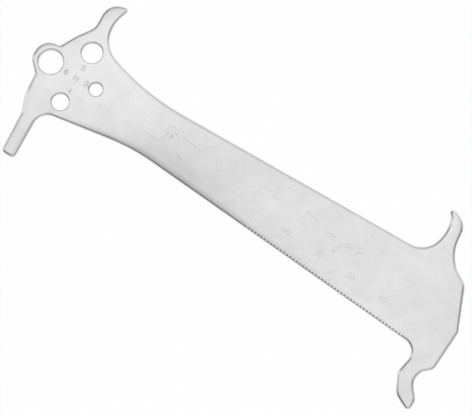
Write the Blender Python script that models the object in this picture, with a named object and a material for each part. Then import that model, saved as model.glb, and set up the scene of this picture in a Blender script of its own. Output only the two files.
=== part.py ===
"""Chain wear gauge: one piece stamped from stainless sheet, tumbled smooth, with an engraved rule.

The gauge lies flat. X runs along it from the head to the tail, Y across it and Z up through the sheet,
and the origin is the bottom centre of its bounding box. The outline is drawn in millimetres about the
middle of the head's hole pattern, as corners that are each turned off by an arc.
"""

import math

import bmesh
import bpy

MM = 0.001
NODE_NAME = "gauge_plate"

# Sheet and its tumbled edge
SHEET_THICKNESS = 1.8
EDGE_INSET = 1.3
EDGE_DROP = 0.8
BORE_INSET = 0.5
BORE_LAND = 0.2
LEAST_INSET = 0.1
EDGE_STEPS = 4
ROOM_SHARE = 0.8
ROOM_STEP = 0.8
ARC_SAG = 0.012
MEETING_GAP = 0.05

# Bolt gauge holes, in a cross about the datum
BOLT_CLEARANCE = 0.4
BOLT_6 = 6.0
BOLT_5 = 5.0
BOLT_4 = 4.0
BOLT_3 = 3.0
BOLT_6_REACH = 7.9
BOLT_5_REACH = 7.7
BOLT_4_REACH = 7.7
BOLT_3_REACH = 6.1

# Flank to flank, across the two upper prongs and across the two lower ones
UPPER_SPAN = 110.1
LOWER_SPAN = 122.2
HEAD_FLANK_X = -3.5
PEG_FLANK_X = -7.1
STEM_WIDTH = 4.3

# Neck and body, which widens from the neck to the tail
NECK_TOP_X = 18.1
NECK_TOP_Y = 6.0
NECK_TOP_RADIUS = 64.4
NECK_LOW_X = 22.5
NECK_LOW_Y = -8.1
NECK_LOW_RADIUS = 54.7
UPPER_RISE_DEG = 1.96
RULE_FALL_DEG = 3.34

# Head prong, its nose leaning over the chain
HEAD_SHOULDER_Y = 11.0
HEAD_PRONG_HEIGHT = 12.0
HEAD_ROOT_SET = 0.4
HEAD_ROOT_RADIUS = 7.8
HEAD_WAIST_HEIGHT = 7.4
HEAD_WAIST_RADIUS = 8.0
NOSE_LEAN = 1.4
NOSE_TIP_RADIUS = 0.8
NOSE_DROP = 1.5
NOSE_BACK_RADIUS = 4.3
HEAD_BACK_SET = 0.4
HEAD_BACK_HEIGHT = 2.8
HEAD_BACK_RADIUS = 3.7
HEAD_CHEST_SET = 2.4
HEAD_CHEST_DROP = 1.4
HEAD_CHEST_RADIUS = 10.8

# Eye round the largest hole, and the cheek below it
EYE_END_WALL = 1.95
EYE_SIDE_WALL = 1.65
EYE_RADIUS = 4.5
EYE_NOTCH_BACK = 4.8
EYE_NOTCH_RADIUS = 0.9
CHIN_DROP = 1.5
CHIN_RADIUS = 2.7
CHEEK_SET = 3.3
CHEEK_DROP = 3.2
CHEEK_RADIUS = 0.4
JAW_SET = 4.0
JAW_DROP = 9.1
JAW_RADIUS = 13.7

# Peg
PEG_LENGTH = 11.4
PEG_SHOULDER_DROP = 15.3
PEG_SHOULDER_RADIUS = 0.4
PEG_ROOT_WIDTH = 4.1
PEG_END_WIDTH = 3.9
PEG_LEAN = 1.1
PEG_CORNER_RADIUS = 1.2
PEG_ROOT_RADIUS = 3.9
PEG_ROOT_DROP = 12.4

# Foot
FOOT_ROOT_SET = 1.5
FOOT_ROOT_RADIUS = 3.5
FOOT_KNEE_DROP = 7.4
FOOT_KNEE_RADIUS = 3.2
FOOT_DEPTH = 15.3
FOOT_HEEL_SET = 2.5
FOOT_HEEL_RISE = 2.5
FOOT_HEEL_RADIUS = 3.9
FOOT_TOE_REACH = 7.7
FOOT_TOE_RADIUS = 1.1
FOOT_TOE_HEIGHT = 3.7
FOOT_TOE_BACK_RADIUS = 2.2
FOOT_WAIST_RADIUS = 3.7
FOOT_SHOULDER_SET = 1.1
FOOT_SHOULDER_DROP = 4.4
FOOT_SHOULDER_RADIUS = 1.9

# Tail end, between the foot and the hook
TAIL_END_SET = 3.8
TAIL_HEEL_SET = 0.5
TAIL_HEEL_DROP = 2.4
TAIL_HEEL_RADIUS = 1.8
TAIL_POINT_HEIGHT = 8.8
TAIL_POINT_RADIUS = 1.4
TAIL_SHOULDER_SET = 7.5
TAIL_SHOULDER_DROP = 1.9
TAIL_SHOULDER_RADIUS = 3.4
TAIL_SADDLE_SET = 3.3
TAIL_SADDLE_RISE = 0.6
TAIL_SADDLE_RADIUS = 4.2

# Hook
HOOK_WIDTH = 3.5
HOOK_HEIGHT = 13.2
HOOK_ROOT_SET = 1.9
HOOK_ROOT_RADIUS = 6.1
HOOK_BELLY_HEIGHT = 7.6
HOOK_BELLY_RADIUS = 11.0
HOOK_THROAT_SET = 1.0
HOOK_THROAT_HEIGHT = 11.3
HOOK_THROAT_RADIUS = 2.5
HOOK_TIP_REACH = 2.0
HOOK_TIP_DEPTH = 0.7
HOOK_TIP_RADIUS = 0.5
HOOK_BROW_SET = 0.5
HOOK_BROW_RADIUS = 1.5
HOOK_BACK_SET = 0.4
HOOK_BACK_DROP = 1.5
HOOK_BACK_RADIUS = 4.1
HOOK_HEEL_HEIGHT = 4.5
HOOK_HEEL_RADIUS = 10.0

# Engraved rule along the straight lower edge
RULE_START = 36.3
RULE_PITCH = 1.0
RULE_MARKS = 49
MARK_WIDTH = 0.32
MARK_DEPTH = 0.36
MARK_LENGTH = 2.9
MARK_LENGTH_FIVE = 4.2
MARK_LENGTH_TEN = 5.0
CUTTER_OVERSHOOT = 1.0


def bolt_holes():
    """Centre and diameter of each bolt gauge hole."""
    return [
        (-BOLT_6_REACH, 0.0, BOLT_6 + BOLT_CLEARANCE),
        (0.0, BOLT_5_REACH, BOLT_5 + BOLT_CLEARANCE),
        (0.0, -BOLT_4_REACH, BOLT_4 + BOLT_CLEARANCE),
        (BOLT_3_REACH, 0.0, BOLT_3 + BOLT_CLEARANCE),
    ]


def upper_edge_y(x):
    """Height of the body's straight upper edge at x."""
    return NECK_TOP_Y + (x - NECK_TOP_X) * math.tan(math.radians(UPPER_RISE_DEG))


def rule_edge_y(x):
    """Height of the body's straight lower edge at x."""
    return NECK_LOW_Y - (x - NECK_LOW_X) * math.tan(math.radians(RULE_FALL_DEG))


def foot_waist_x():
    return PEG_FLANK_X + LOWER_SPAN


def foot_root():
    """Corner where the rule's edge meets the foot."""
    x = foot_waist_x() - STEM_WIDTH + FOOT_ROOT_SET
    return x, rule_edge_y(x)


def hook_belly_x():
    return HEAD_FLANK_X + UPPER_SPAN - HOOK_WIDTH


def head_prong():
    """Corners from the prong's inner root over its nose and down to the notch at the eye."""
    inner_x = HEAD_FLANK_X + STEM_WIDTH
    top_y = HEAD_SHOULDER_Y + HEAD_PRONG_HEIGHT
    return [
        (inner_x + HEAD_ROOT_SET, HEAD_SHOULDER_Y, HEAD_ROOT_RADIUS),
        (inner_x, HEAD_SHOULDER_Y + HEAD_WAIST_HEIGHT, HEAD_WAIST_RADIUS),
        (inner_x + NOSE_LEAN, top_y, NOSE_TIP_RADIUS),
        (HEAD_FLANK_X, top_y - NOSE_DROP, NOSE_BACK_RADIUS),
        (HEAD_FLANK_X + HEAD_BACK_SET, HEAD_SHOULDER_Y + HEAD_BACK_HEIGHT, HEAD_BACK_RADIUS),
        (HEAD_FLANK_X - HEAD_CHEST_SET, HEAD_SHOULDER_Y - HEAD_CHEST_DROP, HEAD_CHEST_RADIUS),
    ]


def eye_and_cheek():
    """Corners round the eye of the largest hole and down the cheek to the peg."""
    x, y, bore = bolt_holes()[0]
    top_y = y + bore / 2 + EYE_SIDE_WALL
    end_x = x - bore / 2 - EYE_END_WALL
    return [
        (HEAD_FLANK_X - EYE_NOTCH_BACK, top_y, EYE_NOTCH_RADIUS),
        (end_x, top_y, EYE_RADIUS),
        (end_x, y - CHIN_DROP, CHIN_RADIUS),
        (end_x + CHEEK_SET, y - CHIN_DROP - CHEEK_DROP, CHEEK_RADIUS),
        (end_x + JAW_SET, y - CHIN_DROP - JAW_DROP, JAW_RADIUS),
    ]


def peg():
    """Corners of the straight peg, from its outer shoulder round its end to the root at the neck."""
    end_y = -PEG_SHOULDER_DROP - PEG_LENGTH
    end_x = PEG_FLANK_X + PEG_LEAN
    return [
        (PEG_FLANK_X, -PEG_SHOULDER_DROP, PEG_SHOULDER_RADIUS),
        (end_x, end_y, PEG_CORNER_RADIUS),
        (end_x + PEG_END_WIDTH, end_y, PEG_CORNER_RADIUS),
        (PEG_FLANK_X + PEG_ROOT_WIDTH, -PEG_ROOT_DROP, PEG_ROOT_RADIUS),
        (NECK_LOW_X, NECK_LOW_Y, NECK_LOW_RADIUS),
    ]


def foot():
    """Corners of the curved foot, from the end of the rule's edge round the toe to its shoulder."""
    root_x, root_y = foot_root()
    waist_x = foot_waist_x()
    knee_x = waist_x - STEM_WIDTH
    sole_y = root_y - FOOT_DEPTH
    toe_x = knee_x + FOOT_TOE_REACH
    return [
        (root_x, root_y, FOOT_ROOT_RADIUS),
        (knee_x, root_y - FOOT_KNEE_DROP, FOOT_KNEE_RADIUS),
        (knee_x + FOOT_HEEL_SET, sole_y + FOOT_HEEL_RISE, FOOT_HEEL_RADIUS),
        (toe_x, sole_y, FOOT_TOE_RADIUS),
        (toe_x, sole_y + FOOT_TOE_HEIGHT, FOOT_TOE_BACK_RADIUS),
        (waist_x, root_y - FOOT_KNEE_DROP, FOOT_WAIST_RADIUS),
        (waist_x + FOOT_SHOULDER_SET, root_y - FOOT_SHOULDER_DROP, FOOT_SHOULDER_RADIUS),
    ]


def tail_end():
    """Corners of the tail's blunt end, from the foot's shoulder up to the hook's saddle."""
    end_x = foot_waist_x() + TAIL_END_SET
    root_y = foot_root()[1]
    hook_y = upper_edge_y(hook_belly_x())
    saddle_x = hook_belly_x() + HOOK_WIDTH + TAIL_SADDLE_SET
    return [
        (end_x - TAIL_HEEL_SET, root_y - TAIL_HEEL_DROP, TAIL_HEEL_RADIUS),
        (end_x, root_y + TAIL_POINT_HEIGHT, TAIL_POINT_RADIUS),
        (hook_belly_x() + HOOK_WIDTH + TAIL_SHOULDER_SET, hook_y - TAIL_SHOULDER_DROP, TAIL_SHOULDER_RADIUS),
        (saddle_x, hook_y + TAIL_SADDLE_RISE, TAIL_SADDLE_RADIUS),
    ]


def hook():
    """Corners of the hook, up its back, round its brow and tip and down its belly to the body."""
    belly_x = hook_belly_x()
    back_x = belly_x + HOOK_WIDTH
    root_x = belly_x - HOOK_ROOT_SET
    root_y = upper_edge_y(root_x)
    top_y = root_y + HOOK_HEIGHT
    return [
        (back_x + HOOK_BACK_SET, root_y + HOOK_HEEL_HEIGHT, HOOK_HEEL_RADIUS),
        (back_x - HOOK_BACK_SET, top_y - HOOK_BACK_DROP, HOOK_BACK_RADIUS),
        (belly_x - HOOK_BROW_SET, top_y, HOOK_BROW_RADIUS),
        (belly_x - HOOK_TIP_REACH, top_y, HOOK_TIP_RADIUS),
        (belly_x - HOOK_TIP_REACH, top_y - HOOK_TIP_DEPTH, HOOK_TIP_RADIUS),
        (belly_x - HOOK_THROAT_SET, root_y + HOOK_THROAT_HEIGHT, HOOK_THROAT_RADIUS),
        (belly_x, root_y + HOOK_BELLY_HEIGHT, HOOK_BELLY_RADIUS),
        (root_x, root_y, HOOK_ROOT_RADIUS),
        (NECK_TOP_X, NECK_TOP_Y, NECK_TOP_RADIUS),
    ]


def arc_steps(radius, angle):
    """Number of chords that keep an arc's facets within ARC_SAG of it."""
    widest = 2 * math.acos(1 - min(ARC_SAG / radius, 0.5))
    return max(1, math.ceil(abs(angle) / widest))


def turn_at(before, corner, after):
    """Heading into a corner and the angle that it turns through."""
    heading = math.atan2(corner[1] - before[1], corner[0] - before[0])
    heading_out = math.atan2(after[1] - corner[1], after[0] - corner[0])
    return heading, math.remainder(heading_out - heading, math.tau)


def fitting_shares(corners):
    """Share of its radius that each corner keeps, so that neighbouring arcs meet but never overlap."""
    count = len(corners)
    reaches = []
    for i, corner in enumerate(corners):
        turn = turn_at(corners[i - 1], corner, corners[(i + 1) % count])[1]
        reaches.append(corner[2] * math.tan(abs(turn) / 2))
    shares = [1.0] * count
    for i in range(count):
        length = math.dist(corners[i - 1][:2], corners[i][:2])
        share = min(1.0, length / (reaches[i - 1] + reaches[i]))
        shares[i - 1] = min(shares[i - 1], share)
        shares[i] = min(shares[i], share)
    return shares


def turned_corner(before, corner, after, share):
    """Points of the arc at one corner, which is an x, y and radius, each with its outward normal."""
    x, y, radius = corner
    radius = radius * share
    heading_in, turn = turn_at(before, corner, after)
    side = math.copysign(1.0, turn)
    reach = radius * math.tan(abs(turn) / 2)
    centre_x = x - reach * math.cos(heading_in) - side * radius * math.sin(heading_in)
    centre_y = y - reach * math.sin(heading_in) + side * radius * math.cos(heading_in)
    steps = arc_steps(radius, turn)
    points = []
    for i in range(steps + 1):
        heading = heading_in + turn * i / steps
        normal = (math.sin(heading), -math.cos(heading))
        points.append(((centre_x + side * radius * normal[0], centre_y + side * radius * normal[1]), normal))
    return points


def outline():
    """The gauge's outline, anticlockwise, as points and their outward normals.

    Arcs that meet, or very nearly, share the point between them.
    """
    corners = head_prong() + eye_and_cheek() + peg() + foot() + tail_end() + hook()
    shares = fitting_shares(corners)
    points = []
    for i, corner in enumerate(corners):
        points += turned_corner(corners[i - 1], corner, corners[(i + 1) % len(corners)], shares[i])
    return [point for i, point in enumerate(points) if math.dist(points[i - 1][0], point[0]) > MEETING_GAP]


def places_between(start, end):
    """Places from one point to the next, without the first, no more than ROOM_STEP apart."""
    count = max(1, math.ceil(math.dist(start, end) / ROOM_STEP))
    shares = [i / count for i in range(1, count + 1)]
    return [(start[0] + (end[0] - start[0]) * t, start[1] + (end[1] - start[1]) * t) for t in shares]


def room_in_metal(point, normal, places):
    """Radius of the largest circle that touches the edge at a point and stays within the outline."""
    room = math.inf
    for x, y in places:
        away_x = point[0] - x
        away_y = point[1] - y
        ahead = away_x * normal[0] + away_y * normal[1]
        if ahead > 1e-6:
            room = min(room, (away_x * away_x + away_y * away_y) / (2 * ahead))
    return room


def room_beside_bores(places):
    """Widest rounding at some places of the edge that leaves a flat land before a bore's own rounding."""
    walls = [math.dist(place, (x, y)) - bore / 2 for x, y, bore in bolt_holes() for place in places]
    return min(walls) - BORE_INSET - BORE_LAND


def rounded_outline():
    """The outline with the inset of its rounding at each point, which is less in narrow metal."""
    points = outline()
    stretches = [places_between(points[i - 1][0], point) for i, (point, _) in enumerate(points)]
    places = [place for stretch in stretches for place in stretch]
    beside_bores = [room_beside_bores(stretch) for stretch in stretches]
    loop = []
    for i, (point, normal) in enumerate(points):
        room = ROOM_SHARE * room_in_metal(point, normal, places)
        room = min(room, beside_bores[i], beside_bores[(i + 1) % len(points)])
        loop.append((point, normal, max(LEAST_INSET, min(EDGE_INSET, room))))
    return loop


def hole_outline(x, y, diameter):
    """A hole's circle, clockwise, with its normals pointing into the hole."""
    radius = diameter / 2
    count = arc_steps(radius, math.tau)
    points = []
    for i in range(count):
        angle = -math.tau * i / count
        away = (math.cos(angle), math.sin(angle))
        points.append(((x + radius * away[0], y + radius * away[1]), (-away[0], -away[1]), BORE_INSET))
    return points


def rounding():
    """The tumbled edge's section, up from the underside: (share of the inset, height)."""
    quarter = [math.radians(90) * i / EDGE_STEPS for i in range(EDGE_STEPS + 1)]
    lower = [(1 - math.sin(a), EDGE_DROP * (1 - math.cos(a))) for a in quarter]
    upper = [(inset, SHEET_THICKNESS - height) for inset, height in reversed(lower)]
    return lower + upper


def add_wall(mesh, loop, origin):
    """Builds the rounded wall along one outline and returns its bottom and top rings of edges."""
    rings = []
    for share, height in rounding():
        ring = []
        for (x, y), normal, inset in loop:
            place = (
                (x - share * inset * normal[0] - origin[0]) * MM,
                (y - share * inset * normal[1] - origin[1]) * MM,
                height * MM,
            )
            ring.append(mesh.verts.new(place))
        rings.append(ring)
    count = len(loop)
    for low, high in zip(rings, rings[1:]):
        for i in range(count):
            j = (i + 1) % count
            mesh.faces.new((low[i], low[j], high[j], high[i]))
    ends = []
    for ring in (rings[0], rings[-1]):
        ends.append([mesh.edges.get((ring[i], ring[(i + 1) % count])) for i in range(count)])
    return ends


def add_plate(name, material, origin):
    """The stamped sheet: rounded walls along the outline and holes, closed by two flat faces."""
    mesh = bmesh.new()
    bottom = []
    top = []
    for loop in [rounded_outline()] + [hole_outline(*hole) for hole in bolt_holes()]:
        low, high = add_wall(mesh, loop, origin)
        bottom += low
        top += high
    for edges in (bottom, top):
        bmesh.ops.triangle_fill(mesh, use_beauty=True, edges=edges)
    bmesh.ops.recalc_face_normals(mesh, faces=mesh.faces)
    data = bpy.data.meshes.new(name)
    mesh.to_mesh(data)
    mesh.free()
    data.shade_smooth()
    data.set_sharp_from_angle(angle=math.radians(40))
    data.materials.append(material)
    plate = bpy.data.objects.new(name, data)
    bpy.context.scene.collection.objects.link(plate)
    return plate


def mark_length(index):
    if index % 10 == 0:
        return MARK_LENGTH_TEN
    return MARK_LENGTH_FIVE if index % 5 == 0 else MARK_LENGTH


def mark_section(length):
    """Section of a mark's cutter: (distance in from the edge, height), flat-bottomed and open at the edge."""
    bottom = SHEET_THICKNESS - MARK_DEPTH
    above = SHEET_THICKNESS + CUTTER_OVERSHOOT
    return [(length, above), (length, bottom), (-CUTTER_OVERSHOOT, bottom), (-CUTTER_OVERSHOOT, above)]


def add_rule_cutter(origin):
    """One prism for each mark of the rule, square to the lower edge and evenly spaced along it."""
    fall = math.radians(RULE_FALL_DEG)
    along = (math.cos(fall), -math.sin(fall))
    inward = (math.sin(fall), math.cos(fall))
    mesh = bmesh.new()
    for index in range(RULE_MARKS):
        middle = RULE_START + RULE_PITCH * index
        ends = []
        for side in (-0.5, 0.5):
            distance = middle + side * MARK_WIDTH
            ring = []
            for depth, height in mark_section(mark_length(index)):
                x = NECK_LOW_X + distance * along[0] + depth * inward[0] - origin[0]
                y = NECK_LOW_Y + distance * along[1] + depth * inward[1] - origin[1]
                ring.append(mesh.verts.new((x * MM, y * MM, height * MM)))
            ends.append(ring)
            mesh.faces.new(ring)
        count = len(ends[0])
        for i in range(count):
            j = (i + 1) % count
            mesh.faces.new((ends[0][i], ends[0][j], ends[1][j], ends[1][i]))
    bmesh.ops.recalc_face_normals(mesh, faces=mesh.faces)
    data = bpy.data.meshes.new("rule_cutter")
    mesh.to_mesh(data)
    mesh.free()
    cutter = bpy.data.objects.new("rule_cutter", data)
    cutter.hide_render = True
    cutter.display_type = "WIRE"
    bpy.context.scene.collection.objects.link(cutter)
    return cutter


def engrave(plate, cutter):
    """Cuts the rule's marks into the plate."""
    cut = plate.modifiers.new("Rule", "BOOLEAN")
    cut.operation = "DIFFERENCE"
    cut.solver = "EXACT"
    cut.object = cutter


def steel():
    """Bare stainless steel with a soft tumbled sheen."""
    material = bpy.data.materials.new("tumbled_steel")
    material.use_nodes = True
    shader = material.node_tree.nodes["Principled BSDF"]
    shader.inputs["Base Color"].default_value = (0.72, 0.73, 0.74, 1.0)
    shader.inputs["Metallic"].default_value = 1.0
    shader.inputs["Roughness"].default_value = 0.36
    return material


def outline_middle():
    """Middle of the outline's bounding box, which becomes the origin."""
    xs = [point[0] for point, _ in outline()]
    ys = [point[1] for point, _ in outline()]
    return (min(xs) + max(xs)) / 2, (min(ys) + max(ys)) / 2


def main():
    for item in list(bpy.data.objects):
        bpy.data.objects.remove(item, do_unlink=True)
    origin = outline_middle()
    plate = add_plate(NODE_NAME, steel(), origin)
    engrave(plate, add_rule_cutter(origin))


main()
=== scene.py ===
"""Visual model of the chain wear gauge: its steel finish, engraved figures, studio and camera.

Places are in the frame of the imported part, in metres. X runs along the gauge from its head to its tail,
Y across it towards the hook, Z up from the underside. Patterns on the steel are worked out in millimetres.
"""

import math

import bpy
import numpy as np
from mathutils import Matrix, Vector


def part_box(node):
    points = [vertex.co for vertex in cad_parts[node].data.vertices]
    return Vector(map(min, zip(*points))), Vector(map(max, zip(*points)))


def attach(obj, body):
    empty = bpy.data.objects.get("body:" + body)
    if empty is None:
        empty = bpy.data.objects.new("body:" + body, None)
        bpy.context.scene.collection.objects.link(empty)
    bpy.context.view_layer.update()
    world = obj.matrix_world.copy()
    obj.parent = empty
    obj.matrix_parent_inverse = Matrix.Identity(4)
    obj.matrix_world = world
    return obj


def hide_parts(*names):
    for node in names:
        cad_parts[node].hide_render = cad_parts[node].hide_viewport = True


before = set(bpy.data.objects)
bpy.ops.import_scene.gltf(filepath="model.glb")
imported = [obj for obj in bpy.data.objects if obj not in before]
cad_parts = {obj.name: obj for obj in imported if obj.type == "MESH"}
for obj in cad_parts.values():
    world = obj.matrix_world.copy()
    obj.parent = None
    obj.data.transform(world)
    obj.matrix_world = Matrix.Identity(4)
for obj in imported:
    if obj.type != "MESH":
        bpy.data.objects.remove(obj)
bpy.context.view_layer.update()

bl_info = {
    "name": "Chain Wear Gauge",
    "version": (1, 0, 0),
    "blender": (4, 5, 0),
    "location": "View3D > Sidebar > Gauge",
    "description": "Steel finish, engraved figures and studio for a chain wear gauge",
    "category": "Object",
}

MM = 0.001
PLATE = "gauge_plate"
TOP_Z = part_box(PLATE)[1].z / MM
MERGE_DISTANCE = 1e-6
SHARP_ANGLE = math.radians(38)

# Rule along the lower edge, in millimetres: where its first mark meets the edge, the fall of the edge
# towards the tail, and the spacing and depth of the marks
RULE_START = (5.82, -7.55)
RULE_FALL = math.radians(3.34)
RULE_PITCH = 1.0
RULE_DEPTH = 0.36

# Figures of the rule: their tens, how far in from the edge they stand and how far short of their long mark
RULE_TENS = (1, 2, 3, 4)
RULE_FIGURE_INSET = 5.2
RULE_FIGURE_LAG = 1.0

# Light low down round the gauge: direction in degrees, anticlockwise from the picture's right, and level.
# Set against the brightness measured across the gauge's edges in the photograph.
LOW_LIGHT = (
    (-160.0, 0.0), (-121.0, 0.17), (-75.0, 0.6), (-31.0, 0.38), (-19.0, 0.43),
    (-9.0, 0.08), (16.0, 0.55), (30.0, 0.85), (55.0, 0.82), (85.0, 0.6),
    (115.0, 0.38), (144.0, 0.18), (150.0, 1.25), (158.0, 1.1), (168.0, 0.55),
)
# Heights of a direction between which the low light gives way to the dome
DOME_RISE = (0.33, 0.99)

# Floor: its drop below the gauge, its cells on a side, its colour and the scale of its grain
FLOOR_DROP = 0.03 * MM
FLOOR_CELLS = 8
PAPER = (0.97, 0.97, 0.97)
PAPER_GRAIN = 900.0
# Share of the floor that shines white for rays from the camera and for reflections in the steel
CAMERA_WHITE = 0.97
GLOSSY_WHITE = 0.3

# Camera: width of its sensor in millimetres, and the nearest and farthest that it sees in metres
SENSOR_WIDTH = 36.0
CLIP_RANGE = (0.01, 50.0)

# Head's figures: text and place, in millimetres
HEAD_FIGURES = (
    ("M", -52.74, 2.52),
    ("6", -55.84, 2.48),
    ("5", -52.57, 5.69),
    ("4", -52.38, -1.11),
    ("3", -49.63, 2.56),
)

# Strokes of each figure in a cell one unit high: (closed, curved, points)
STROKES = {
    "0": [(True, True, [(0.3, 0.0), (0.06, 0.16), (0.0, 0.5), (0.06, 0.84),
                        (0.3, 1.0), (0.54, 0.84), (0.6, 0.5), (0.54, 0.16)])],
    "1": [(False, False, [(0.1, 0.78), (0.34, 1.0), (0.34, 0.0)])],
    "2": [(False, True, [(0.03, 0.78), (0.12, 0.94), (0.31, 1.0), (0.52, 0.92), (0.56, 0.7),
                         (0.4, 0.42), (0.0, 0.0)]),
          (False, False, [(0.0, 0.0), (0.6, 0.0)])],
    "3": [(False, True, [(0.04, 0.86), (0.16, 0.98), (0.34, 1.0), (0.53, 0.9), (0.53, 0.66),
                         (0.38, 0.55), (0.24, 0.54)]),
          (False, True, [(0.24, 0.54), (0.46, 0.5), (0.6, 0.3), (0.52, 0.08), (0.3, 0.0),
                         (0.1, 0.04), (0.0, 0.18)])],
    "4": [(False, False, [(0.44, 0.0), (0.44, 1.0), (0.0, 0.3), (0.6, 0.3)])],
    "5": [(False, False, [(0.54, 1.0), (0.1, 1.0), (0.06, 0.56)]),
          (False, True, [(0.06, 0.56), (0.28, 0.64), (0.52, 0.54), (0.6, 0.32), (0.52, 0.1),
                         (0.3, 0.0), (0.08, 0.05), (0.0, 0.16)])],
    "6": [(False, True, [(0.52, 0.92), (0.34, 1.0), (0.12, 0.84), (0.02, 0.5), (0.05, 0.18),
                         (0.18, 0.02), (0.32, 0.0), (0.52, 0.1), (0.6, 0.32), (0.5, 0.54),
                         (0.3, 0.61), (0.1, 0.5), (0.03, 0.36)])],
    "M": [(False, False, [(0.0, 0.0), (0.0, 1.0), (0.4, 0.24), (0.8, 1.0), (0.8, 0.0)])],
}
CELL_WIDTH = {"1": 0.42, "M": 0.8}
USUAL_WIDTH = 0.6
LETTER_GAP = 0.3
CURVE_STEPS = 6
TUBE_SIDES = 18
CAP_ANGLES = np.radians([90.0, 60.0, 30.0])

# Scale, detail and roughness of the noises that vary the steel
FINE_NOISE = (1.5, 3.0, 0.6)
SOFT_NOISE = (0.2, 3.0, 0.6)
BEND_NOISE = (1.3, 2.0, 0.6)
BREAK_NOISE = (2.2, 2.0, 0.6)
GROOVE_NOISE = (5.0, 2.0, 0.6)

# Fine straight rubs: angle and shift of each set, then the stretch of their noise, its scale, detail and
# roughness, its levels at which a rub starts and is whole, and a rub's darkness
RUB_SETS = ((0.35, 3.0), (-0.9, 11.0), (1.9, 23.0))
RUB_STRETCH = (0.22, 7.0, 7.0)
RUB_NOISE = (1.0, 1.0, 0.4)
RUB_CUT = (0.66, 0.78)
RUB_DARKNESS = 0.015

# Depths below the marked face, in millimetres, at which marks and the patches of painted reflection and
# shade have faded out and are whole
MARKS_FADE = (0.75, 0.4)
REFLECTION_PATCHES_FADE = (0.4, 0.02)
# Distances from the depth of the rule's grooves at which a groove's floor is whole and has ended, and the
# # share of a patch of painted reflection and shade that the floor takes
GROOVE_BAND = (0.005, 0.02)
GROOVE_REFLECTION_SHARE = 0.7
# Distances from the nearer face at which the smoother rim is whole and at which it starts
RIM_BAND = (0.14, 0.01)
# Levels of the breaking noise at which a mark is gone and at which it is whole
BREAK_CUT = (0.3, 0.6)
# What each pattern adds to the roughness, and its height in millimetres
ROUGHNESS_OF = {"fine": 0.12, "soft": 0.08, "marks": 0.08, "rim": -0.15}
RELIEF_OF = {"fine": 0.004, "soft": 0.01, "rubs": -0.0008, "marks": -0.004}
# Figures' grooves: how far the grain varies their colour, their roughness and how far the grain varies that
GROOVE_MOTTLING = 0.4
GROOVE_ROUGHNESS = 0.5
GROOVE_ROUGHNESS_VARIES = 0.2

# How far the bending noise moves a smudge along and across the gauge, per unit of noise
SMUDGE_BEND = (1.4, 2.4, 0.0)

# Scratches and dots of the marked face: both ends, half width and strength, in millimetres
SCRATCHES = (
    (-21.0, 4.2, -16.8, 3.5, 0.20, 1.0),
    (-16.8, 3.5, -12.6, 2.9, 0.16, 0.8),
    (-29.9, -0.1, -25.3, -0.3, 0.22, 0.6),
    (-25.3, -0.3, -24.6, 3.0, 0.22, 0.8),
    (-24.3, -0.1, -23.8, 2.4, 0.16, 0.5),
    (-25.1, 4.1, -23.7, 5.3, 0.25, 0.5),
    (-23.4, 4.2, -21.9, 3.3, 0.25, 0.8),
    (-22.7, 5.6, -21.1, 5.0, 0.22, 0.6),
    (-9.9, 4.2, -8.6, 3.5, 0.25, 0.5),
    (28.2, 1.6, 32.3, 3.9, 0.16, 0.4),
    (27.7, -0.7, 28.0, -0.8, 0.35, 1.7),
    (48.2, 24.0, 48.5, 23.8, 0.65, 2.4),
)

# Shapeless smudges of the marked face, stated the same way and bent by a noise
SMUDGES = (
    (-23.6, 3.1, -23.1, 1.9, 0.30, 1.0),
    (-19.2, -0.9, -17.8, -1.3, 0.30, 0.7),
    (-10.4, 3.0, -8.5, 3.0, 0.28, 0.5),
    (4.6, 4.4, 6.2, 4.0, 0.60, 0.45),
    (7.4, 3.6, 9.4, 3.1, 0.50, 0.45),
    (16.8, 4.3, 18.6, 3.9, 0.50, 0.5),
    (19.6, 4.0, 21.2, 3.6, 0.40, 0.5),
    (24.0, 2.4, 26.4, 2.5, 0.50, 0.5),
    (29.2, 1.5, 31.0, 1.9, 0.35, 0.5),
    (33.4, 2.2, 34.6, 2.6, 0.50, 0.5),
    (50.0, -5.9, 50.8, -6.7, 0.50, 0.35),
    (14.4, -2.7, 15.8, -3.1, 0.90, 0.5),
    (-56.0, 2.6, -55.4, 2.4, 1.00, 0.3),
    (-53.0, 2.5, -52.4, 2.4, 1.00, 0.3),
    (-49.9, 2.6, -49.4, 2.5, 1.00, 0.3),
    (-43.8, -0.4, -43.2, -0.6, 0.90, 0.4),
    (-49.3, -1.8, -48.0, -2.1, 1.00, 0.3),
    (-16.0, 6.9, -14.6, 6.5, 0.90, 0.3),
    (-14.0, -3.2, -11.0, -3.4, 1.20, 0.2),
    (9.7, 6.9, 10.5, 6.7, 0.90, 0.3),
    (15.6, 2.8, 17.4, 1.6, 1.60, 0.3),
    (28.1, 0.3, 28.8, 0.8, 0.90, 0.45),
    (32.8, 3.2, 33.5, 3.6, 0.90, 0.4),
)

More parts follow.
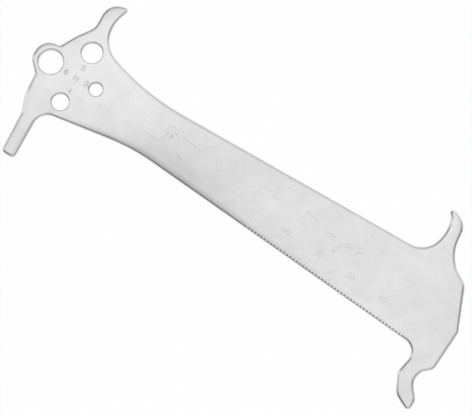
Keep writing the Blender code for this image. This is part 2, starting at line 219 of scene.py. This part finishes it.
# Painted reflections and shade on the marked face, with some of the steel's uneven tone: darker and lighter
# places
# # in its colour, fitted to its brightness in the photograph: middle and half lengths in millimetres, turn
# in degrees and strength
PAINTED_REFLECTIONS_AND_TONE = (
    # The first five darken the steel along and towards the lower edge: painted shade and reflection
    (-28.1, -12.2, 31.6, 16.7, 38.0, 0.22),
    (-0.4, -7.2, 40.0, 2.0, -4.0, 0.33),
    (-4.9, -5.4, 37.1, 7.6, 2.0, 0.10),
    (-37.2, -6.8, 18.7, 2.0, 8.0, 0.36),
    (23.9, -8.5, 17.7, 2.8, -7.0, 0.12),
    (-51.5, 9.1, 28.4, 17.1, 57.0, -0.09),
    (-37.1, 7.7, 17.7, 25.0, 60.0, -0.065),
    (-2.3, 5.0, 7.1, 19.5, -60.0, 0.065),
    (70.0, 2.1, 21.2, 15.8, -5.0, 0.08),
    (-54.9, -24.1, 2.0, 16.8, 6.0, 0.20),
    # Painted highlight: a lighter place on the hook's inner rim
    (48.5, 17.4, 3.5, 9.5, -15.0, -0.24),
    (-54.2, 24.8, 8.3, 4.8, 47.0, 0.09),
    (61.8, -22.0, 5.0, 4.0, 60.0, 0.10),
)


class SteelSettings(bpy.types.PropertyGroup):
    """Finish of the tumbled sheet."""

    colour: bpy.props.FloatVectorProperty(
        name="Steel", description="Colour of the bare metal", subtype="COLOR", size=3,
        default=(0.73, 0.73, 0.73), min=0.0, max=1.0,
    )
    roughness: bpy.props.FloatProperty(
        name="Roughness", description="Satin of the tumbled faces", subtype="FACTOR",
        default=0.36, min=0.0, max=1.0,
    )
    mottling: bpy.props.FloatProperty(
        name="Mottling", description="Strength of the fine cloudy pattern left by tumbling",
        subtype="FACTOR", default=0.26, min=0.0, max=0.5,
    )
    wear: bpy.props.FloatProperty(
        name="Wear", description="Darkness of the scratches and smudges", subtype="FACTOR",
        default=0.3, min=0.0, max=1.0,
    )


class FigureSettings(bpy.types.PropertyGroup):
    """Engraved figures of the marked face."""

    head_height: bpy.props.FloatProperty(
        name="Head figures", description="Height of the signs beside the holes", unit="LENGTH",
        default=1.35 * MM, min=0.5 * MM, max=3.0 * MM,
    )
    rule_height: bpy.props.FloatProperty(
        name="Rule figures", description="Height of the figures above the rule", unit="LENGTH",
        default=1.5 * MM, min=0.5 * MM, max=3.0 * MM,
    )
    groove_radius: bpy.props.FloatProperty(
        name="Groove radius", description="Radius of the round groove that draws a figure", unit="LENGTH",
        default=0.2 * MM, min=0.05 * MM, max=0.4 * MM,
    )
    head_depth: bpy.props.FloatProperty(
        name="Head depth", description="Depth of that groove in the signs beside the holes", unit="LENGTH",
        default=0.04 * MM, min=0.01 * MM, max=0.3 * MM,
    )
    rule_depth: bpy.props.FloatProperty(
        name="Rule depth", description="Depth of that groove in the rule's faint figures", unit="LENGTH",
        default=0.02 * MM, min=0.01 * MM, max=0.3 * MM,
    )
    head_colour: bpy.props.FloatVectorProperty(
        name="Head colour", description="Dull metal in the head's grooves", subtype="COLOR", size=3,
        default=(0.59, 0.59, 0.59), min=0.0, max=1.0,
    )
    rule_colour: bpy.props.FloatVectorProperty(
        name="Rule colour", description="Metal in the grooves of the rule's faint figures",
        subtype="COLOR", size=3, default=(0.66, 0.66, 0.66), min=0.0, max=1.0,
    )


class StudioSettings(bpy.types.PropertyGroup):
    """Floor, light and camera."""

    floor_size: bpy.props.FloatProperty(
        name="Floor", description="Side of the floor", unit="LENGTH", default=8.0, min=1.0, max=40.0,
    )
    dome: bpy.props.FloatProperty(
        name="Dome light", description="Level of the light from above", default=1.09, min=0.0, max=3.0,
    )
    horizon: bpy.props.FloatProperty(
        name="Horizon", description="Level of the light from low down", default=1.0, min=0.0, max=3.0,
    )
    focal_length: bpy.props.FloatProperty(
        name="Focal length", description="Focal length of the camera in millimetres",
        default=142.05, min=20.0, max=400.0,
    )
    distance: bpy.props.FloatProperty(
        name="Distance", description="From the camera to the marked face", unit="LENGTH",
        default=0.48, min=0.1, max=5.0,
    )
    tilt: bpy.props.FloatProperty(
        name="Tilt", description="Lean of the view from straight down", subtype="ANGLE", unit="ROTATION",
        default=math.radians(9.0), min=0.0, max=math.radians(80.0),
    )
    roll: bpy.props.FloatProperty(
        name="Roll", description="Turn of the gauge in the picture", subtype="ANGLE", unit="ROTATION",
        default=math.radians(32.0), min=-math.pi, max=math.pi,
    )
    aim: bpy.props.FloatVectorProperty(
        name="Aim", description="Point of the marked face in the middle of the picture", subtype="XYZ",
        unit="LENGTH", size=2, default=(0.762 * MM, -4.544 * MM),
    )


class Wire:
    """An output socket of a shader. Arithmetic on it adds the Math nodes that work it out."""

    def __init__(self, graph, socket):
        self.graph = graph
        self.socket = socket

    def __add__(self, other):
        return self.graph.math("ADD", self, other)

    __radd__ = __add__

    def __sub__(self, other):
        return self.graph.math("SUBTRACT", self, other)

    def __rsub__(self, other):
        return self.graph.math("SUBTRACT", other, self)

    def __mul__(self, other):
        return self.graph.math("MULTIPLY", self, other)

    __rmul__ = __mul__

    def __truediv__(self, other):
        return self.graph.math("DIVIDE", self, other)

    def __abs__(self):
        return self.graph.math("ABSOLUTE", self)


class Graph:
    """The nodes of one material or world."""

    def __init__(self, owner):
        owner.use_nodes = True
        self.tree = owner.node_tree
        self.tree.nodes.clear()

    def node(self, kind, settings=None, sockets=None):
        """Adds a node, sets its settings and then gives its sockets their values or links."""
        made = self.tree.nodes.new(kind)
        for name, value in (settings or {}).items():
            setattr(made, name, value)
        for name, value in (sockets or {}).items():
            if isinstance(value, Wire):
                self.tree.links.new(value.socket, made.inputs[name])
            else:
                made.inputs[name].default_value = value
        return made

    def wire(self, node, name=0):
        return Wire(self, node.outputs[name])

    def math(self, operation, *values):
        return self.wire(self.node("ShaderNodeMath", {"operation": operation}, dict(enumerate(values))))

    def vector(self, operation, *values):
        """A Vector Math node. Where it gives a number, that is what is returned."""
        names = (0, 3) if operation == "SCALE" else (0, 1)
        made = self.node("ShaderNodeVectorMath", {"operation": operation}, dict(zip(names, values)))
        number = operation in ("DOT_PRODUCT", "DISTANCE")
        return self.wire(made, "Value" if number else "Vector")

    def step(self, value, low, high):
        """0 below low and 1 above high, with a smooth rise between them."""
        settings = {"interpolation_type": "SMOOTHSTEP"}
        sockets = {"Value": value, "From Min": low, "From Max": high}
        return self.wire(self.node("ShaderNodeMapRange", settings, sockets), "Result")

    def noise(self, place, scale, detail, roughness):
        """Smooth noise from 0 to 1, with its scale in cells per unit of place."""
        sockets = {"Vector": place, "Scale": scale, "Detail": detail, "Roughness": roughness}
        return self.wire(self.node("ShaderNodeTexNoise", {"normalize": True}, sockets), 0)

    def turned(self, place, angle, stretch, shift):
        """place moved by shift, turned about Z and then stretched on each axis."""
        sockets = {
            "Vector": place, "Location": (shift, 0.0, shift),
            "Rotation": (0.0, 0.0, angle), "Scale": stretch,
        }
        return self.wire(self.node("ShaderNodeMapping", {"vector_type": "POINT"}, sockets), "Vector")


def scratch(graph, flat, start_x, start_y, end_x, end_y, half_width, strength):
    """Strength on the line between two points, falling smoothly to nothing at half_width beside it."""
    start = (start_x, start_y, 0.0)
    run = Vector((end_x - start_x, end_y - start_y, 0.0))
    away = graph.vector("SUBTRACT", flat, start)
    share = graph.vector("DOT_PRODUCT", away, tuple(run / run.length_squared))
    share = graph.math("MINIMUM", graph.math("MAXIMUM", share, 0.0), 1.0)
    gap = graph.vector("DISTANCE", away, graph.vector("SCALE", tuple(run), share))
    return (1.0 - graph.step(gap, 0.0, half_width)) * strength


# Draws one ellipse of the painted reflections and shade in the steel's colour
def painted_patch(graph, flat, x, y, half_length, half_width, turn, strength):
    """Strength at a point, falling smoothly to nothing on an ellipse round it."""
    angle = math.radians(turn)
    away = graph.vector("SUBTRACT", flat, (x, y, 0.0))
    along = (math.cos(angle) / half_length, math.sin(angle) / half_length, 0.0)
    across = (-math.sin(angle) / half_width, math.cos(angle) / half_width, 0.0)
    u = graph.vector("DOT_PRODUCT", away, along)
    v = graph.vector("DOT_PRODUCT", away, across)
    return (1.0 - graph.step(graph.math("SQRT", u * u + v * v), 0.0, 1.0)) * strength


def hairlines(graph, place, angle, shift):
    """Fine straight rubs at one angle: noise drawn out along it and cut off near its top."""
    drawn = graph.turned(place, angle, RUB_STRETCH, shift)
    return graph.step(graph.noise(drawn, *RUB_NOISE), *RUB_CUT)


def steel_material(settings):
    """Satin steel, mottled by tumbling, with fine rubs, scratches, smudges, painted reflections and shade
    over some uneven tone, and a smoother rim.
    """
    material = bpy.data.materials.new("Tumbled steel")
    graph = Graph(material)
    coordinates = graph.wire(graph.node("ShaderNodeTexCoord"), "Object")
    place = graph.vector("SCALE", coordinates, 1.0 / MM)
    flat = graph.vector("MULTIPLY", place, (1.0, 1.0, 0.0))
    height = graph.wire(graph.node("ShaderNodeSeparateXYZ", None, {0: place}), "Z")

    middle = TOP_Z / 2
    rim = 1.0 - graph.step(abs(height - middle), middle - RIM_BAND[0], middle - RIM_BAND[1])
    marked = graph.step(height, TOP_Z - MARKS_FADE[0], TOP_Z - MARKS_FADE[1])
    groove = 1.0 - graph.step(abs(height - (TOP_Z - RULE_DEPTH)), *GROOVE_BAND)
    face = graph.step(height, TOP_Z - REFLECTION_PATCHES_FADE[0], TOP_Z - REFLECTION_PATCHES_FADE[1])
    face = graph.math("MAXIMUM", face, groove * GROOVE_REFLECTION_SHARE)

    fine = graph.noise(place, *FINE_NOISE) - 0.5
    soft = graph.noise(place, *SOFT_NOISE) - 0.5
    rubs = 0.0
    for angle, shift in RUB_SETS:
        rubs = hairlines(graph, place, angle, shift) + rubs
    marks = 0.0
    for values in SCRATCHES:
        marks = scratch(graph, flat, *values) + marks
    sway = graph.vector("SCALE", SMUDGE_BEND, graph.noise(place, *BEND_NOISE) - 0.5)
    bent = graph.vector("ADD", flat, sway)
    for values in SMUDGES:
        marks = scratch(graph, bent, *values) + marks
    # Painted reflections and shade, with some uneven tone: ellipses that darken or lighten the steel's
    # colour
    reflections_and_tone = 0.0
    for values in PAINTED_REFLECTIONS_AND_TONE:
        reflections_and_tone = painted_patch(graph, flat, *values) + reflections_and_tone
    marks = marks * marked * graph.step(graph.noise(place, *BREAK_NOISE), *BREAK_CUT)
    reflections_and_tone = reflections_and_tone * face

    tone = 1.0 + fine * (settings.mottling * 0.5) + soft * settings.mottling - rubs * RUB_DARKNESS
    # The painted reflections and shade scale the colour here
    tone = (tone - marks * settings.wear) * (1.0 - reflections_and_tone)
    colour = graph.vector("SCALE", tuple(settings.colour), tone)
    patterns = {"fine": fine, "soft": soft, "rubs": rubs, "marks": marks, "rim": rim}
    roughness = settings.roughness
    for name, share in ROUGHNESS_OF.items():
        roughness = patterns[name] * share + roughness
    relief = 0.0
    for name, depth in RELIEF_OF.items():
        relief = patterns[name] * depth + relief
    bump = graph.node("ShaderNodeBump", None, {"Strength": 1.0, "Distance": MM, "Height": relief})
    shader = graph.node("ShaderNodeBsdfPrincipled", None, {
        "Base Color": colour, "Metallic": 1.0,
        "Roughness": roughness, "Normal": graph.wire(bump, "Normal"),
    })
    graph.node("ShaderNodeOutputMaterial", None, {"Surface": graph.wire(shader)})
    return material


def groove_material(name, metal):
    """Dull metal in the bottom of an engraved figure, a little uneven."""
    material = bpy.data.materials.new(name)
    graph = Graph(material)
    coordinates = graph.wire(graph.node("ShaderNodeTexCoord"), "Object")
    grain = graph.noise(graph.vector("SCALE", coordinates, 1.0 / MM), *GROOVE_NOISE) - 0.5
    shader = graph.node("ShaderNodeBsdfPrincipled", None, {
        "Base Color": graph.vector("SCALE", tuple(metal), 1.0 + grain * GROOVE_MOTTLING),
        "Metallic": 1.0, "Roughness": GROOVE_ROUGHNESS + grain * GROOVE_ROUGHNESS_VARIES,
    })
    graph.node("ShaderNodeOutputMaterial", None, {"Surface": graph.wire(shader)})
    return material


def rounded_line(points, closed):
    """A Catmull-Rom curve through the points: each span is a cubic that keeps its neighbours' slopes."""
    points = np.asarray(points, float)
    if closed:
        ring = np.concatenate([points[-1:], points, points[:2]])
    else:
        ring = np.concatenate([2 * points[:1] - points[1:2], points, 2 * points[-1:] - points[-2:-1]])
    spans = np.stack([ring[:-3], ring[1:-2], ring[2:-1], ring[3:]], axis=1)
    t = np.arange(CURVE_STEPS)[:, None] / CURVE_STEPS
    weights = 0.5 * np.hstack([
        -t + 2 * t**2 - t**3, 2 - 5 * t**2 + 3 * t**3, t + 4 * t**2 - 3 * t**3, -t**2 + t**3,
    ])
    line = np.einsum("tk,skc->stc", weights, spans).reshape(-1, 2)
    return line if closed else np.concatenate([line, points[-1:]])


def groove_tube(line, radius, level, closed):
    """A round bar along a flat line: its circle at each point stands square to the line.

    A point of a circle is line + radius * cos(angle) * side, at the height level + radius * sin(angle).
    An open bar's ends are half balls: their circles shrink to radius * cos(cap) at radius * sin(cap) beyond
    the line, for the angles cap of CAP_ANGLES.
    """
    if closed:
        slope = np.roll(line, -1, axis=0) - np.roll(line, 1, axis=0)
    else:
        slope = np.gradient(line, axis=0)
    slope = slope / np.linalg.norm(slope, axis=1, keepdims=True)
    radii = np.full(len(line), radius)
    if not closed:
        start = line[0] - radius * np.outer(np.sin(CAP_ANGLES), slope[0])
        end = line[-1] + radius * np.outer(np.sin(CAP_ANGLES[::-1]), slope[-1])
        caps = radius * np.cos(CAP_ANGLES)
        line = np.concatenate([start, line, end])
        before, after = (np.repeat(ends, len(CAP_ANGLES), axis=0) for ends in (slope[:1], slope[-1:]))
        slope = np.concatenate([before, slope, after])
        radii = np.concatenate([caps, radii, caps[::-1]])
    side = np.stack([-slope[:, 1], slope[:, 0]], axis=1)
    angle = np.arange(TUBE_SIDES) * math.tau / TUBE_SIDES
    across = radii[:, None, None] * np.cos(angle)[None, :, None] * side[:, None, :]
    up = radii[:, None] * np.sin(angle)[None, :] + level
    rings = np.concatenate([line[:, None, :] + across, up[:, :, None]], axis=2)
    return close_grid(rings, closed)


def close_grid(rings, closed):
    """Points and faces of a tube of rings. An open tube's first and last rings shrink to a single point."""
    count, sides = rings.shape[:2]
    if closed:
        index = np.arange(count * sides).reshape(count, sides)
        near, far = index, np.roll(index, -1, axis=0)
        points = rings.reshape(-1, 3)
        faces = []
    else:
        tips = rings[[0, -1]].mean(axis=1)
        points = np.concatenate([rings[1:-1].reshape(-1, 3), tips])
        index = np.arange((count - 2) * sides).reshape(count - 2, sides)
        near, far = index[:-1], index[1:]
        first, last = len(points) - 2, len(points) - 1
        faces = [(first, a, b) for a, b in zip(np.roll(index[0], -1), index[0])]
        faces = faces + [(last, a, b) for a, b in zip(index[-1], np.roll(index[-1], -1))]
    quads = np.stack([near, np.roll(near, -1, axis=1), np.roll(far, -1, axis=1), far], axis=-1)
    return points, faces + [tuple(face) for face in quads.reshape(-1, 4)]


def text_width(text):
    """Width of a text one unit high: its cells and the gaps between them."""
    return sum(CELL_WIDTH.get(letter, USUAL_WIDTH) for letter in text) + LETTER_GAP * (len(text) - 1)


def text_tubes(text, middle, heading, height, radius, level):
    """The tubes that engrave a text round its middle, with its letters side by side along the heading."""
    turn = np.array([[math.cos(heading), math.sin(heading)], [-math.sin(heading), math.cos(heading)]])
    at = -text_width(text) / 2
    tubes = []
    for letter in text:
        for closed, curved, points in STROKES[letter]:
            line = rounded_line(points, closed) if curved else np.asarray(points, float)
            line = ((line + (at, -0.5)) * height) @ turn + middle
            tubes.append(groove_tube(line, radius, level, closed))
        at = at + CELL_WIDTH.get(letter, USUAL_WIDTH) + LETTER_GAP
    return tubes


def mesh_object(name, points, faces, materials):
    """A mesh object at the origin."""
    data = bpy.data.meshes.new(name)
    data.from_pydata([tuple(point) for point in points], [], faces)
    for material in materials:
        data.materials.append(material)
    data.validate()
    made = bpy.data.objects.new(name, data)
    bpy.context.scene.collection.objects.link(made)
    return made


def merged_solid(node):
    """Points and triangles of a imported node, with the corners that lie together made one."""
    data = node.data
    places = np.empty(len(data.vertices) * 3, np.float32)
    data.vertices.foreach_get("co", places)
    corners = np.empty(len(data.polygons) * 3, np.int32)
    data.polygons.foreach_get("vertices", corners)
    cells = np.round(places.reshape(-1, 3) / MERGE_DISTANCE).astype(np.int64)
    _, first, index = np.unique(cells, axis=0, return_index=True, return_inverse=True)
    faces = index.reshape(-1)[corners].reshape(-1, 3)
    whole = (faces[:, 0] != faces[:, 1]) & (faces[:, 1] != faces[:, 2]) & (faces[:, 2] != faces[:, 0])
    return places.reshape(-1, 3)[first], [tuple(face) for face in faces[whole]]


def applied(made):
    """Replaces an object's mesh by the one that its modifiers make, and takes the modifiers off."""
    graph = bpy.context.evaluated_depsgraph_get()
    data = bpy.data.meshes.new_from_object(made.evaluated_get(graph), depsgraph=graph)
    made.modifiers.clear()
    made.data = data


def engrave(plate, tubes, material):
    """Cuts the tubes out of the plate and gives the cut faces the groove's metal."""
    points, faces, count = [], [], 0
    for tube_points, tube_faces in tubes:
        points.append(tube_points)
        faces = faces + [tuple(corner + count for corner in face) for face in tube_faces]
        count = count + len(tube_points)
    cutter = mesh_object("figure_cutter", np.concatenate(points), faces, [material])
    cut = plate.modifiers.new("Figures", "BOOLEAN")
    cut.operation = "DIFFERENCE"
    cut.solver = "EXACT"
    cut.use_self = True
    cut.material_mode = "TRANSFER"
    cut.object = cutter
    applied(plate)
    bpy.data.objects.remove(cutter, do_unlink=True)


def smooth_rounded_edges(plate):
    """Shades the rounded edges smooth, while the large flat faces stay flat."""
    plate.data.shade_smooth()
    plate.data.set_sharp_from_angle(angle=SHARP_ANGLE)
    weights = plate.modifiers.new("Face weights", "WEIGHTED_NORMAL")
    weights.mode = "FACE_AREA"
    weights.keep_sharp = True


class GAUGE_OT_plate(bpy.types.Operator):
    """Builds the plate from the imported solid, engraves its figures and gives it its steel"""

    bl_idname = "gauge.plate"
    bl_label = "Plate"

    def execute(self, context):
        figures = context.scene.gauge_figures
        points, faces = merged_solid(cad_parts[PLATE])
        plate = mesh_object("steel_plate", points, faces, [steel_material(context.scene.gauge_steel)])
        radius = figures.groove_radius
        level = TOP_Z * MM + radius - figures.head_depth
        head_tubes = []
        for text, x, y in HEAD_FIGURES:
            middle = (x * MM, y * MM)
            head_tubes = head_tubes + text_tubes(text, middle, 0.0, figures.head_height, radius, level)
        level = TOP_Z * MM + radius - figures.rule_depth
        rule_tubes = []
        along = np.array([math.cos(RULE_FALL), -math.sin(RULE_FALL)])
        inward = np.array([math.sin(RULE_FALL), math.cos(RULE_FALL)])
        for tens in RULE_TENS:
            reach = RULE_PITCH * 10 * tens - RULE_FIGURE_LAG
            middle = np.array(RULE_START) + along * reach + inward * RULE_FIGURE_INSET
            rule_tubes = rule_tubes + text_tubes(
                f"{tens}0", middle * MM, -RULE_FALL, figures.rule_height, radius, level
            )
        engrave(plate, head_tubes, groove_material("Head groove", figures.head_colour))
        engrave(plate, rule_tubes, groove_material("Rule groove", figures.rule_colour))
        smooth_rounded_edges(plate)
        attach(plate, "root")
        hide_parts(PLATE)
        return {"FINISHED"}


def floor_material():
    """White paper that stays nearly white to the camera and still takes a faint shadow."""
    material = bpy.data.materials.new("White paper")
    graph = Graph(material)
    coordinates = graph.wire(graph.node("ShaderNodeTexCoord"), "Object")
    grain = graph.noise(coordinates, PAPER_GRAIN, 2.0, 0.5) - 0.5
    colour = graph.vector("SCALE", PAPER, 1.0 + grain * 0.02)
    paper = graph.node("ShaderNodeBsdfDiffuse", None, {"Color": colour})
    white = graph.node("ShaderNodeEmission", None, {"Strength": 1.0})
    path = graph.node("ShaderNodeLightPath")
    by_camera = graph.wire(path, "Is Camera Ray") * CAMERA_WHITE
    seen = by_camera + graph.wire(path, "Is Glossy Ray") * GLOSSY_WHITE
    mixed = graph.node("ShaderNodeMixShader", None, {0: seen, 1: graph.wire(paper), 2: graph.wire(white)})
    graph.node("ShaderNodeOutputMaterial", None, {"Surface": graph.wire(mixed)})
    return material


def add_floor(size):
    """A level sheet just under the gauge: a grid whose two parameters are X and Y."""
    lines = FLOOR_CELLS + 1
    steps = np.linspace(-size / 2, size / 2, lines)
    x, y = np.meshgrid(steps, steps, indexing="ij")
    points = np.stack([x, y, np.full_like(x, -FLOOR_DROP)], axis=-1).reshape(-1, 3)
    index = np.arange(lines * lines).reshape(lines, lines)
    faces = np.stack([index[:-1, :-1], index[1:, :-1], index[1:, 1:], index[:-1, 1:]], axis=-1)
    faces = [tuple(face) for face in faces.reshape(-1, 4)]
    floor = mesh_object("floor", points, faces, [floor_material()])


def low_light(graph, way, roll):
    """Level of the low light at the azimuth of a direction: a straight line between those of LOW_LIGHT."""
    parts = graph.node("ShaderNodeSeparateXYZ", None, {0: way})
    azimuth = graph.math("ARCTAN2", graph.wire(parts, "Y"), graph.wire(parts, "X")) - roll
    turns = graph.math("FRACT", azimuth / math.tau + 1.0)
    ramp = graph.node("ShaderNodeValToRGB", None, {"Fac": turns})
    stops = sorted(((direction / 360.0) % 1.0, level) for direction, level in LOW_LIGHT)
    stops = [(stops[-1][0] - 1.0, stops[-1][1])] + stops + [(stops[0][0] + 1.0, stops[0][1])]
    places, levels = zip(*stops)
    seam = float(np.interp(0.0, places, levels))
    elements = ramp.color_ramp.elements
    elements[0].position, elements[0].color = 0.0, (seam, seam, seam, 1.0)
    elements[-1].position, elements[-1].color = 1.0, (seam, seam, seam, 1.0)
    for place, level in stops[1:-1]:
        elements.new(place).color = (level, level, level, 1.0)
    return graph.wire(ramp, "Color")


def light_world(settings):
    """A pale studio, bright overhead, with lighter and darker sides low down. The camera sees white."""
    world = bpy.data.worlds.new("Studio")
    bpy.context.scene.world = world
    graph = Graph(world)
    way = graph.wire(graph.node("ShaderNodeTexCoord"), "Generated")
    height = graph.wire(graph.node("ShaderNodeSeparateXYZ", None, {0: way}), "Z")
    low = low_light(graph, way, settings.roll) * settings.horizon
    sky = low + graph.step(height, *DOME_RISE) * (settings.dome - low)
    seen = graph.wire(graph.node("ShaderNodeLightPath"), "Is Camera Ray")
    level = sky + seen * (1.0 - sky)
    white = (1.0, 1.0, 1.0, 1.0)
    light = graph.node("ShaderNodeBackground", None, {"Color": white, "Strength": level})
    graph.node("ShaderNodeOutputWorld", None, {"Surface": graph.wire(light)})


def add_camera(settings):
    """Looks down on the marked face from a little below it in the picture, with the gauge turned there."""
    right = Vector((math.cos(settings.roll), math.sin(settings.roll), 0.0))
    level_up = Vector((-math.sin(settings.roll), math.cos(settings.roll), 0.0))
    back = math.cos(settings.tilt) * Vector((0.0, 0.0, 1.0)) - math.sin(settings.tilt) * level_up
    up = back.cross(right)
    aim = Vector((settings.aim[0], settings.aim[1], TOP_Z * MM))
    data = bpy.data.cameras.new("Camera")
    data.lens = settings.focal_length
    data.sensor_width = SENSOR_WIDTH
    data.clip_start, data.clip_end = CLIP_RANGE
    camera = bpy.data.objects.new("Camera", data)
    turn = Matrix((right, up, back)).transposed().to_4x4()
    camera.matrix_world = Matrix.Translation(aim + back * settings.distance) @ turn
    bpy.context.scene.collection.objects.link(camera)
    bpy.context.scene.camera = camera


class GAUGE_OT_stage(bpy.types.Operator):
    """Sets up the white floor, the soft light and the camera"""

    bl_idname = "gauge.stage"
    bl_label = "Stage"

    def execute(self, context):
        settings = context.scene.gauge_studio
        add_floor(settings.floor_size)
        light_world(settings)
        add_camera(settings)
        context.scene.view_settings.view_transform = "Standard"
        return {"FINISHED"}


class GAUGE_PT_panel(bpy.types.Panel):
    """Lists the gauge's steps and settings in the sidebar"""

    bl_idname = "GAUGE_PT_panel"
    bl_label = "Chain wear gauge"
    bl_space_type = "VIEW_3D"
    bl_region_type = "UI"
    bl_category = "Gauge"

    def draw(self, context):
        scene = context.scene
        for settings in (scene.gauge_steel, scene.gauge_figures, scene.gauge_studio):
            for name in settings.__annotations__:
                self.layout.prop(settings, name)
        self.layout.operator(GAUGE_OT_plate.bl_idname)
        self.layout.operator(GAUGE_OT_stage.bl_idname)


CLASSES = (SteelSettings, FigureSettings, StudioSettings, GAUGE_OT_plate, GAUGE_OT_stage, GAUGE_PT_panel)


def register():
    for made in CLASSES:
        bpy.utils.register_class(made)
    bpy.types.Scene.gauge_steel = bpy.props.PointerProperty(type=SteelSettings)
    bpy.types.Scene.gauge_figures = bpy.props.PointerProperty(type=FigureSettings)
    bpy.types.Scene.gauge_studio = bpy.props.PointerProperty(type=StudioSettings)


def unregister():
    del bpy.types.Scene.gauge_studio
    del bpy.types.Scene.gauge_figures
    del bpy.types.Scene.gauge_steel
    for made in reversed(CLASSES):
        bpy.utils.unregister_class(made)


def main():
    register()
    bpy.ops.gauge.plate()
    bpy.ops.gauge.stage()


if __name__ == "__main__":
    main()
